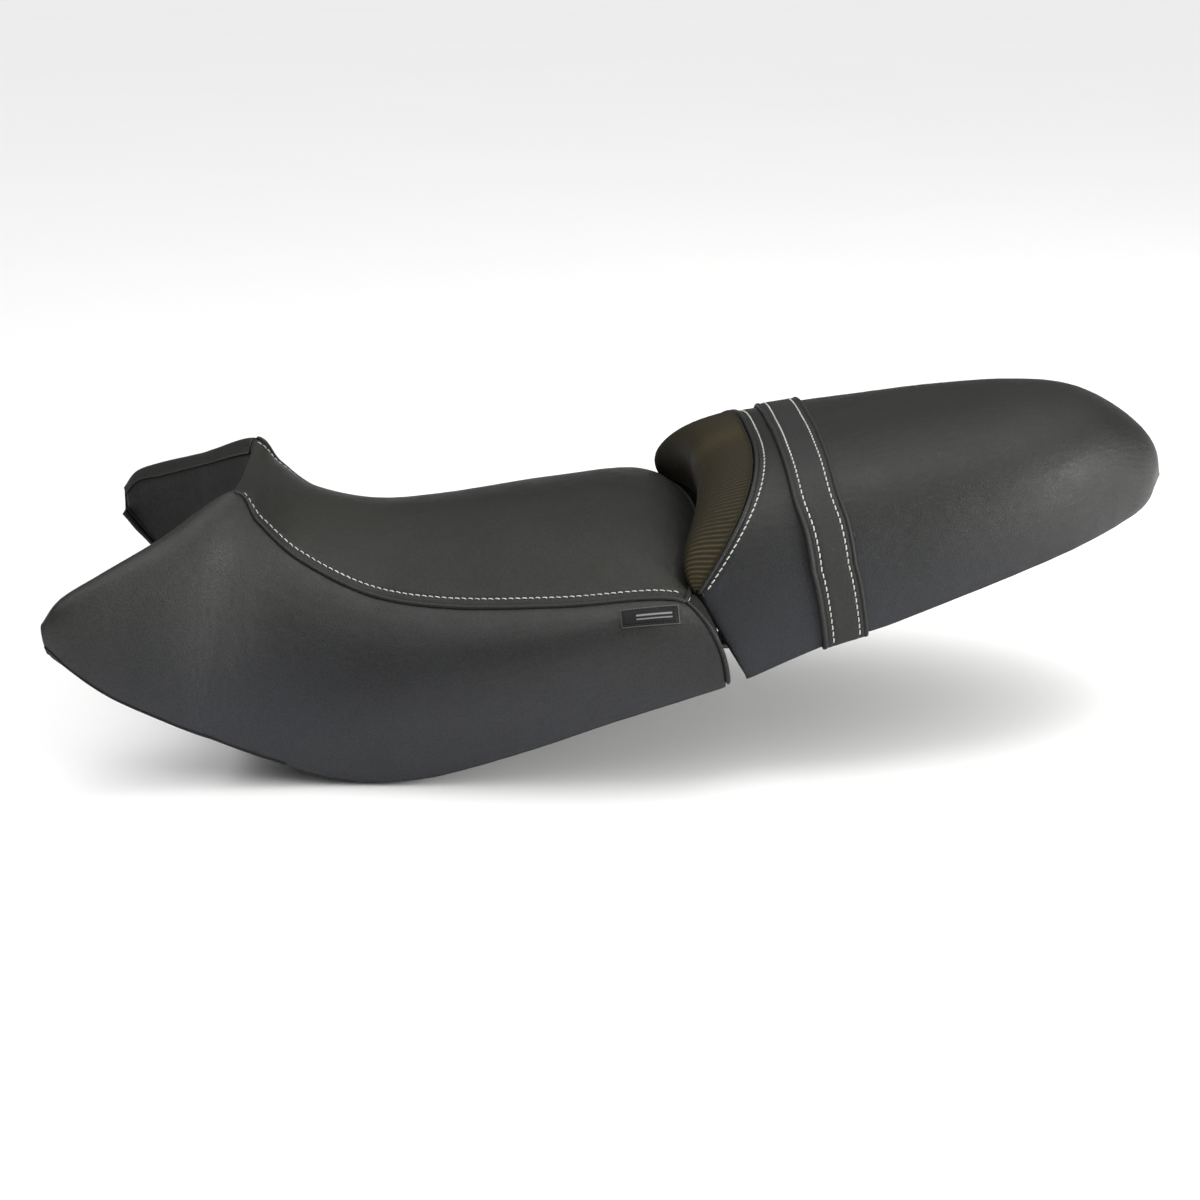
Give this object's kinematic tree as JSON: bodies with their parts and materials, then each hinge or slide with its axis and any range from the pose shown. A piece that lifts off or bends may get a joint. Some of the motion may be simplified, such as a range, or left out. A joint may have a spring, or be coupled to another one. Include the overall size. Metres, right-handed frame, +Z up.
{
  "type": "motorcycle seat",
  "caption": "Padded black motorcycle seat with a rider section that flares around the tank and a hinged passenger section with a ribbed front panel and a grab strap.",
  "frame": {"origin": "middle of the two rear bolt holes of the rider section, at the top face of their bracket", "axes": "+X to the rear of the seat, +Y to the rider's right, +Z up"},
  "size_m": [0.839, 0.3326, 0.2598],
  "materials": {
    "vinyl_top": "black imitation leather with fine grain, satin",
    "vinyl_side": "black imitation leather with fine grain, satin",
    "vinyl_dark": "black imitation leather, satin",
    "ribbed_grip": "ribbed anti-slip woven vinyl, dark olive brown, matte",
    "piping_vinyl": "black piping, satin",
    "white_thread": "white twisted thread",
    "strap_vinyl": "black strap in imitation leather, satin",
    "tag_fabric": "black woven tag, blank",
    "seat_foam": "moulded polyurethane foam",
    "pan_plastic": "black moulded plastic, grained",
    "black_plate": "black coated pressed steel",
    "plated_plate": "zinc plated steel",
    "pin_steel": "turned steel, plated",
    "screw_zinc": "zinc plated screws and rivets",
    "rubber": "black rubber",
    "staple_wire": "galvanised wire"
  },
  "bodies": {
    "rider_seat": {"rider_base_pan": "pan_plastic", "rider_foam": "seat_foam", "rider_top_cover": "vinyl_top", "rider_left_side_cover": "vinyl_side", "rider_right_side_cover": "vinyl_side", "rider_front_cover": "vinyl_dark", "rider_rear_cover": "vinyl_dark", "rider_left_piping": "piping_vinyl", "rider_right_piping": "piping_vinyl", "rider_rear_piping": "piping_vinyl", "rider_left_stitching": "white_thread", "rider_right_stitching": "white_thread", "label_tag": "tag_fabric", "rider_front_tongue": "plated_plate", "rider_tongue_screws": "screw_zinc", "rider_rear_bracket": "black_plate", "rider_bracket_rivets": "screw_zinc", "rider_bumpers": "rubber", "rider_staples": "staple_wire"},
    "passenger_seat": {"passenger_base_pan": "pan_plastic", "passenger_foam": "seat_foam", "passenger_main_cover": "vinyl_top", "passenger_insert": "ribbed_grip", "passenger_front_cover": "vinyl_dark", "insert_piping": "piping_vinyl", "insert_stitching": "white_thread", "strap_left_end": "strap_vinyl", "strap_right_end": "strap_vinyl", "strap_anchor_plates": "plated_plate", "strap_anchor_screws": "screw_zinc", "passenger_rear_hooks": "black_plate", "passenger_hook_screws": "screw_zinc", "passenger_latch_pin": "pin_steel", "passenger_latch_plate": "plated_plate", "passenger_latch_screws": "screw_zinc", "passenger_bumpers": "rubber", "passenger_staples": "staple_wire"},
    "strap": {"strap_grip": "strap_vinyl", "strap_grip_stitching": "white_thread"}
  },
  "joints": [
    {"name": "passenger_seat_swing", "type": "hinge", "parent": "rider_seat", "child": "passenger_seat", "pos_m": [0.24, 0, 0.072], "axis": [0, 1, 0], "range_deg": [0, 55]},
    {"name": "strap_lift", "type": "slide", "parent": "passenger_seat", "child": "strap", "axis": [0, 0, 1], "range_m": [0, 0.02]}
  ]
}
